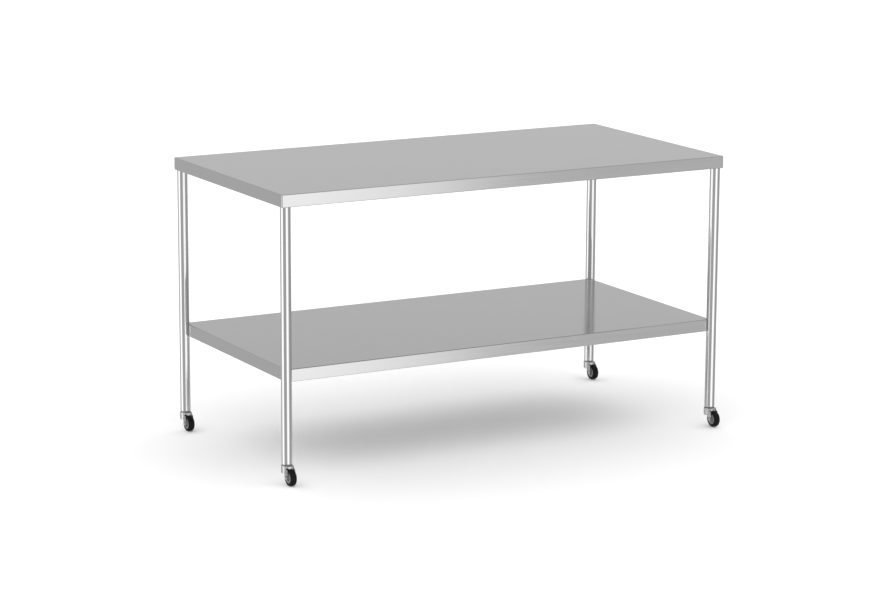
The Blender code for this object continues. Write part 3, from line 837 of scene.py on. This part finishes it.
def mark_rubbed(mesh, low, high, reach):
    """Stores how rubbed each point of a pan is: 1 on the folds and the upright corners, 0 elsewhere."""
    rubbed = []
    for vertex in mesh.vertices:
        x, y, z = vertex.co
        across_x = min(x - low.x, high.x - x)
        across_y = min(y - low.y, high.y - y)
        on_fold = min(across_x, across_y) < reach and high.z - z < reach
        rubbed.append(float(on_fold or max(across_x, across_y) < reach))
    mesh.attributes.new("rub", "FLOAT", "POINT").data.foreach_set("value", rubbed)


class WORKTABLE_OT_decks(bpy.types.Operator):
    """Makes the folded sheets of the top and the shelf"""
    bl_idname = "work_table.decks"
    bl_label = "Top and shelf"

    def execute(self, context):
        sizes = context.scene.table_sheet
        top = pan(TOP_LOW, TOP_HIGH, sizes)
        shelf = pan(SHELF_LOW, SHELF_HIGH, sizes)
        cope_radius = context.scene.table_legs.diameter / 2 + sizes.leg_gap
        cope = bar(cope_radius, SHELF_LOW.z - sizes.sheet, SHELF_HIGH.z + sizes.sheet, TUBE_SEGMENTS)
        for _, x, y in stems():
            shelf = combined(shelf, placed(cope, x, y), "DIFFERENCE")
        margin = 0.0001
        reach = sizes.bend + sizes.sheet + margin
        mark_rubbed(top, TOP_LOW, TOP_HIGH, reach)
        mark_rubbed(shelf, SHELF_LOW, SHELF_HIGH, reach)
        add_piece("top_sheet", top, brushed_sheet, "table", "top_panel")
        add_piece("shelf_sheet", shelf, brushed_sheet, "table", "shelf_panel")
        return {"FINISHED"}


def hat(low, high, sizes):
    """Hat section along X with rounded folds, its flanges up."""
    middle = (low.y + high.y) / 2
    half = (high.y - low.y) / 2
    web = half - sizes.channel_flange
    cap = web - sizes.channel_draft
    sheet = sizes.sheet
    inner = sizes.channel_bend
    outer = inner + sheet
    right = [
        (half, high.z, 0.0),
        (half, high.z - sheet, 0.0),
        (web + sheet, high.z - sheet, inner),
        (cap + sheet, low.z, outer),
    ]
    hollow = [(cap, low.z + sheet, inner), (web, high.z, outer)]
    left, left_hollow = ([(-y, z, radius) for y, z, radius in reversed(side)] for side in (right, hollow))
    outline = [(middle + y, z) for y, z in rounded(right + left + left_hollow + hollow)]
    return prism(outline, low.x, high.x, "X")


class WORKTABLE_OT_channels(bpy.types.Operator):
    """Makes the hat channels under both decks, with the spot welds that hold them"""
    bl_idname = "work_table.channels"
    bl_label = "Hat channels"

    def execute(self, context):
        sizes = context.scene.table_sheet
        lines = []
        for node in ("top_channel_front", "top_channel_rear", "shelf_channel_front", "shelf_channel_rear"):
            low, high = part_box(node)
            add_piece(f"hat_{node}", hat(low, high, sizes), brushed_sheet, "table", node)
            level = high.z - sizes.sheet
            for y in (low.y + sizes.channel_flange / 2, high.y - sizes.channel_flange / 2):
                lines.append([(low.x + sizes.spot_pitch, y, level), (high.x - sizes.spot_pitch, y, level)])
        lengths = {"Pitch": sizes.spot_pitch, "Radius": sizes.spot_radius, "Height": sizes.spot_height}
        add_piece("channel_spot_welds", grown(lines, spot_welds, weld_bead, lengths), weld_bead, "table")
        return {"FINISHED"}


def gusset(node, corner, bore, sizes):
    """Corner plate with eased edges and the spigot that goes into the leg's head."""
    sx, sy = CORNERS[corner]
    low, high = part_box(node)
    far_x, edge_x = (high.x, low.x) if sx < 0 else (low.x, high.x)
    far_y, edge_y = (high.y, low.y) if sy < 0 else (low.y, high.y)
    nose = sizes.gusset_nose
    clip = sizes.gusset_clip
    outline = [
        (edge_x - sx * clip, edge_y),
        (far_x, edge_y),
        (far_x, edge_y - sy * nose),
        (edge_x - sx * nose, far_y),
        (edge_x, far_y),
        (edge_x, edge_y - sy * clip),
    ]
    bottom = high.z - sizes.gusset_plate
    plate = eased(prism(outline, bottom, high.z), sizes.gusset_ease)
    outer = bore - sizes.spigot_gap
    inner = outer - sizes.spigot_wall
    spigot = turned(rounded([
        (outer, low.z, sizes.spigot_round),
        (outer, bottom, 0.0),
        (inner, bottom, 0.0),
        (inner, low.z, sizes.spigot_round),
    ], steps=4))
    return merged(plate, placed(spigot, *JOINT_PLACES[f"swivel_{corner}"].xy))


class WORKTABLE_OT_legs(bpy.types.Operator):
    """Makes the tube legs and the gussets that hold their heads"""
    bl_idname = "work_table.legs"
    bl_label = "Legs and gussets"

    def execute(self, context):
        sizes = context.scene.table_legs
        outer = sizes.diameter / 2
        bore = outer - sizes.wall
        ends = ((outer, LEG_LOW.z), (outer, LEG_HIGH.z), (bore, LEG_HIGH.z), (bore, LEG_LOW.z))
        tube = turned(rounded([(*end, sizes.end_round) for end in ends], steps=3), TUBE_SEGMENTS)
        for corner, x, y in stems():
            add_piece(f"tube_{corner}", placed(tube, x, y), polished_tube, "table", f"leg_{corner}")
            node = f"top_gusset_{corner}"
            add_piece(f"gusset_{corner}", gusset(node, corner, bore, sizes), brushed_sheet, "table", node)
        return {"FINISHED"}


def shelf_seam(x, y, sx, sy, sizes):
    """Line of the weld between a leg and the shelf: up one side, round on the deck and down the other."""
    radius = sizes.diameter / 2
    set_x = abs(x - (SHELF_HIGH.x if sx > 0 else SHELF_LOW.x))
    set_y = abs(y - (SHELF_HIGH.y if sy > 0 else SHELF_LOW.y))
    start = degrees(asin(set_y / radius))
    end = degrees(acos(set_x / radius))
    deck = [(x - sx * a, y - sy * b, SHELF_HIGH.z) for a, b in arc((0, 0), radius, start, end, steps=12)]
    foot = SHELF_LOW.z + sizes.weld_foot
    return [(*deck[0][:2], foot), *deck, (*deck[-1][:2], foot)]


class WORKTABLE_OT_welds(bpy.types.Operator):
    """Runs weld beads round the legs' heads and where the shelf meets the legs"""
    bl_idname = "work_table.welds"
    bl_label = "Weld beads"

    def execute(self, context):
        sizes = context.scene.table_legs
        half_run = 105
        lines = []
        for corner, x, y in stems():
            sx, sy = CORNERS[corner]
            inward = degrees(atan2(-sy, -sx))
            head = arc((x, y), sizes.diameter / 2, inward - half_run, inward + half_run, steps=40)
            lines.append([(px, py, LEG_HIGH.z) for px, py in head])
            lines.append(shelf_seam(x, y, sx, sy, sizes))
        lengths = {"Radius": sizes.weld_radius, "Pitch": sizes.weld_pitch, "Ripple": sizes.weld_ripple}
        add_piece("leg_weld_beads", grown(lines, rippled_bead, weld_bead, lengths), weld_bead, "table")
        return {"FINISHED"}


def crown_radius(sizes):
    """Radius of the crown's round back."""
    return sizes.fork_half + sizes.crown_flare


def crown_join(sizes):
    """Distance from the swivel's axis forward to where the round back meets the arms."""
    return (crown_radius(sizes) ** 2 - sizes.fork_half**2) ** 0.5


def nose_start(sizes):
    """Distance from the swivel's axis forward to where the nose begins to close in."""
    return crown_join(sizes) + sizes.crown_side


def round_back(half, radius):
    """Arc of the crown's back, from one side to the other, where the sides stand some way from the middle."""
    opening = degrees(asin(half / radius))
    return arc((0, 0), radius, opening - 90, 270 - opening, CROWN_STEPS)


def crown_outline(sizes, inset):
    """Plan of the fork's crown: a round back that narrows to a blunt nose over the wheel."""
    half = sizes.fork_half - inset
    nose = sizes.fork_sheet + sizes.nose_inside - inset
    side = half - nose
    front = -nose_start(sizes)
    points = round_back(half, crown_radius(sizes) - inset)
    points += arc((-side, front), nose, 180, 270, BEND_STEPS)
    points += arc((side, front), nose, 270, 360, BEND_STEPS)
    return points


def axle_place():
    """How far the axle lies ahead of the swivel's axis, and its height above the floor."""
    axle = JOINT_PLACES["roll_front_left"]
    return JOINT_PLACES["swivel_front_left"].y - axle.y, axle.z


def tangent_angle(point, centre, radius, side):
    """Angle in degrees where a line from a point touches a circle, on its left (1) or right (-1) side."""
    away = (point[0] - centre[0], point[1] - centre[1])
    return degrees(atan2(away[1], away[0]) + side * acos(radius / hypot(*away)))


def fork_wall(sizes, lip):
    """Wall below the crown: a round skirt behind that runs forward into two arms with round ends."""
    tuck = 0.00005
    trail, height = axle_place()
    radius = crown_radius(sizes)
    outer = sizes.fork_half - tuck
    inner = sizes.fork_half - sizes.fork_sheet + tuck
    reach = -(trail + 2 * sizes.arm_boss)
    plan = [(outer, reach), *round_back(outer, radius - tuck), (-outer, reach), (-inner, reach)]
    plan += [*reversed(round_back(inner, radius - sizes.fork_sheet + tuck)), (inner, reach)]
    wall = prism(plan, 0, lip + sizes.crown_lip / 2)
    back = 2 * radius
    join = crown_join(sizes)
    slope = (sizes.skirt_front - sizes.skirt_back) / (radius + join)
    notch = (-join, CROWN_TOP - sizes.skirt_front)
    shoulder = (-trail - sizes.arm_lead, lip - sizes.arm_drop)
    axle = (-trail, height)
    lower = tangent_angle(notch, axle, sizes.arm_boss, -1)
    upper = tangent_angle(shoulder, axle, sizes.arm_boss, 1)
    side = [(back, CROWN_TOP), (back, CROWN_TOP - sizes.skirt_back + slope * (back - radius)), notch]
    side += arc(axle, sizes.arm_boss, lower, upper - 360, steps=24)
    side += [shoulder, (-nose_start(sizes), lip), (-nose_start(sizes), CROWN_TOP)]
    return combined(wall, prism(side, -back, back, "X"), "INTERSECT")


def fork_pressing(sizes):
    """Pressed fork, standing on the floor round its swivel's axis."""
    sheet = sizes.fork_sheet
    radius = crown_radius(sizes)
    lip_top = CROWN_TOP - sheet - sizes.shoulder_inside
    lip = lip_top - sizes.crown_lip
    rings = []
    for inset, direction in ((sheet, 1), (0, -1)):
        rounding = sheet + sizes.shoulder_inside - inset
        shoulder = arc((inset + rounding, lip_top), rounding, 90, 180, BEND_STEPS) + [(inset, lip)]
        for offset, height in shoulder[::direction]:
            rings.append([(x, y, height) for x, y in crown_outline(sizes, offset)])
    race = radius - sizes.race_land
    floor = CROWN_TOP - sizes.race_depth
    trail, height = axle_place()
    tools = (
        ("UNION", fork_wall(sizes, lip)),
        ("UNION", bar(race + sheet, floor - sheet, CROWN_TOP - sheet / 2, TURNED_SEGMENTS)),
        ("DIFFERENCE", bar(race, floor, CROWN_TOP + sheet, TURNED_SEGMENTS)),
        ("DIFFERENCE", bar(sizes.kingpin, floor - 2 * sheet, floor + sheet)),
        ("DIFFERENCE", placed(bar(sizes.axle_hole, -radius, radius), 0, -trail, height, along_x=True)),
    )
    mesh = lofted(rings)
    for operation, tool in tools:
        mesh = combined(mesh, tool, operation)
    return eased(mesh, sizes.edge_ease)


class WORKTABLE_OT_forks(bpy.types.Operator):
    """Makes the pressed forks of the casters"""
    bl_idname = "work_table.forks"
    bl_label = "Caster forks"

    def execute(self, context):
        fork = fork_pressing(context.scene.table_casters)
        for corner, x, y in stems():
            body = f"caster_{corner}"
            add_piece(f"pressing_{corner}", placed(fork, x, y), bright_plate, body, f"caster_fork_{corner}")
        return {"FINISHED"}


def race_cap(sizes):
    """Upper race: a disc below the leg, with a lip round its edge that stands over the fork's crown."""
    bore = sizes.kingpin
    radius = (CAP_HIGH.x - CAP_LOW.x) / 2
    inside = radius - sizes.cap_lip
    foot = CROWN_TOP + sizes.lip_gap
    top = LEG_LOW.z - sizes.lip_gap / 2
    return turned(rounded([
        (bore, CAP_LOW.z, 0.0),
        (inside, CAP_LOW.z, LIP_INSIDE),
        (inside, foot, LIP_INSIDE),
        (radius, foot, CRISP_EDGE),
        (radius, top, CRISP_EDGE),
        (bore, top, 0.0),
    ], steps=5), TUBE_SEGMENTS)


class WORKTABLE_OT_swivels(bpy.types.Operator):
    """Makes the race caps and ball rings of the casters, and finishes the stems and inserts"""
    bl_idname = "work_table.swivels"
    bl_label = "Caster swivels"

    def execute(self, context):
        sizes = context.scene.table_casters
        cap = race_cap(sizes)
        race = crown_radius(sizes) - sizes.race_land - sizes.race_gap - sizes.ball_radius
        middle = (BALL_LOW.z + BALL_HIGH.z) / 2
        lengths = {"Radius": sizes.ball_radius, "Pitch": 2 * pi * race / sizes.ball_count}
        for corner, x, y in stems():
            disc = placed(cap, x, y)
            add_piece(f"race_disc_{corner}", disc, bright_plate, "table", f"caster_race_cap_{corner}")
            circle = [(px, py, middle) for px, py in arc((x, y), race, 0, 360, steps=64)]
            balls = grown([circle], ball_ring, bearing_steel, lengths)
            node = f"caster_ball_ring_{corner}"
            add_piece(f"balls_{corner}", balls, bearing_steel, f"caster_{corner}", node)
            dress(f"caster_stem_{corner}", bright_plate)
            dress(f"leg_insert_{corner}", bright_plate)
        return {"FINISHED"}


def hexagon_head(sizes, low, high, bore):
    """Hexagon with its outer corners turned off to a cone, solid or with a bore."""
    flat = sizes.head_flats / 2
    turned_off = flat * 0.95
    angles = [2 * pi * i / TUBE_SEGMENTS for i in range(TUBE_SEGMENTS)]
    reaches = [flat / cos((angle + pi / 6) % (pi / 3) - pi / 6) for angle in angles]
    rows = [
        [(reach, low) for reach in reaches],
        [(reach, high - (reach - turned_off) * tan(pi / 6)) for reach in reaches],
        [(turned_off, high)] * TUBE_SEGMENTS,
    ]
    if bore > 0:
        rows += [[(bore, level)] * TUBE_SEGMENTS for level in (high, low)]
    rings = [[(r * cos(angle), r * sin(angle), z) for angle, (r, z) in zip(angles, row)] for row in rows]
    return lofted(rings, closed=bore > 0)


class WORKTABLE_OT_axles(bpy.types.Operator):
    """Makes the axle bolts and nuts, and finishes the sleeves between them"""
    bl_idname = "work_table.axles"
    bl_label = "Axles"

    def execute(self, context):
        sizes = context.scene.table_casters
        seat = sizes.fork_half + sizes.head_gap
        tip = AXLE_TIP - JOINT_PLACES["roll_front_left"].x
        pinhole = 0.0006
        shank = turned(rounded([
            (sizes.axle_radius, -seat, 0.0),
            (sizes.axle_radius, tip, CRISP_EDGE),
            (pinhole, tip, 0.0),
            (pinhole, -seat, 0.0),
        ], steps=4), HOLE_SEGMENTS)
        head = hexagon_head(sizes, seat, seat + sizes.head_height, 0.0)
        head.transform(Matrix.Scale(-1, 4, (0, 0, 1)))
        bolt = merged(head, shank)
        thread_gap = 0.0002
        nut = hexagon_head(sizes, seat, seat + sizes.head_height, sizes.axle_radius + thread_gap)
        for corner in CORNERS:
            body = f"caster_{corner}"
            for kind, mesh in (("bolt", bolt), ("nut", nut)):
                fixing = placed(mesh, *JOINT_PLACES[f"roll_{corner}"], along_x=True)
                add_piece(f"{kind}_{corner}", fixing, bright_plate, body, f"axle_{kind}_{corner}")
            dress(f"axle_sleeve_{corner}", bearing_steel)
        return {"FINISHED"}


def hub_moulding(sizes):
    """Hub with a bored boss, a thin web and a rim, all with moulded roundings."""
    rim_half = sizes.tyre_half - sizes.tyre_inset
    half = [
        (sizes.hub_bore, sizes.boss_half, CRISP_EDGE),
        (sizes.hub_boss, sizes.boss_half, BOSS_EDGE),
        (sizes.hub_boss, sizes.hub_web, GROOVE_CORNER),
        (sizes.hub_recess, sizes.hub_web, GROOVE_CORNER),
        (sizes.hub_recess, rim_half, RIM_EDGE),
        (sizes.tyre_seat, rim_half, CRISP_EDGE),
    ]
    mirrored = [(radius, -height, rounding) for radius, height, rounding in reversed(half)]
    return turned(rounded(half + mirrored, steps=5), TUBE_SEGMENTS)


def tyre_moulding(sizes, radius):
    """Tyre with round shoulders, a ring on each side wall and the thin line that its mould leaves."""
    shoulder = sizes.tyre_shoulder
    tread = radius - sizes.tyre_flash
    wall = sizes.tyre_half - sizes.tyre_inset
    upper = [(sizes.tyre_seat + out, wall + along) for out, along in WALL_RING]
    centre = (sizes.tyre_half - shoulder, tread - shoulder)
    upper += [(r, h) for h, r in arc(centre, shoulder, 0, 90, steps=16)]
    upper += zip((tread, tread, radius), FLASH_WIDTHS)
    lower = [(r, -h) for r, h in reversed(upper)]
    return turned(upper + lower, TUBE_SEGMENTS)


class WORKTABLE_OT_wheels(bpy.types.Operator):
    """Makes the moulded hubs and the rubber tyres"""
    bl_idname = "work_table.wheels"
    bl_label = "Wheels"

    def execute(self, context):
        sizes = context.scene.table_casters
        hub = hub_moulding(sizes)
        tyre = tyre_moulding(sizes, JOINT_PLACES["roll_front_left"].z)
        for corner in CORNERS:
            for kind, mesh, look in (("hub", hub, moulded_nylon), ("tyre", tyre, tyre_rubber)):
                wheel = placed(mesh, *JOINT_PLACES[f"roll_{corner}"], along_x=True)
                add_piece(f"{kind}_{corner}", wheel, look, f"wheel_{corner}", f"wheel_{kind}_{corner}")
        return {"FINISHED"}


class WORKTABLE_PT_sidebar(bpy.types.Panel):
    """Lists the steps that finish the work table"""
    bl_idname = "WORKTABLE_PT_sidebar"
    bl_label = "Work table"
    bl_space_type = "VIEW_3D"
    bl_region_type = "UI"
    bl_category = "Work table"

    def draw(self, context):
        for step in STEPS:
            self.layout.operator(step.bl_idname)
        for group in GROUPS:
            settings = getattr(context.scene, group)
            for name in settings.__annotations__:
                self.layout.prop(settings, name)


GROUPS = {
    "table_sheet": SheetSizes,
    "table_legs": LegSizes,
    "table_casters": CasterSizes,
    "table_colours": FinishColours,
    "table_studio": StudioSettings,
}
STEPS = (
    WORKTABLE_OT_stage,
    WORKTABLE_OT_decks,
    WORKTABLE_OT_channels,
    WORKTABLE_OT_legs,
    WORKTABLE_OT_welds,
    WORKTABLE_OT_forks,
    WORKTABLE_OT_swivels,
    WORKTABLE_OT_axles,
    WORKTABLE_OT_wheels,
)


def register():
    """Adds the settings, the steps and the panel."""
    for name, group in GROUPS.items():
        bpy.utils.register_class(group)
        setattr(bpy.types.Scene, name, PointerProperty(type=group))
    for step in (*STEPS, WORKTABLE_PT_sidebar):
        bpy.utils.register_class(step)


def unregister():
    """Takes the panel, the steps and the settings away again."""
    for step in reversed((*STEPS, WORKTABLE_PT_sidebar)):
        bpy.utils.unregister_class(step)
    for name, group in reversed(GROUPS.items()):
        delattr(bpy.types.Scene, name)
        bpy.utils.unregister_class(group)


def main():
    """Finishes the whole table."""
    register()
    bpy.ops.work_table.stage()
    bpy.ops.work_table.decks()
    bpy.ops.work_table.channels()
    bpy.ops.work_table.legs()
    bpy.ops.work_table.welds()
    bpy.ops.work_table.forks()
    bpy.ops.work_table.swivels()
    bpy.ops.work_table.axles()
    bpy.ops.work_table.wheels()


if __name__ == "__main__":
    main()
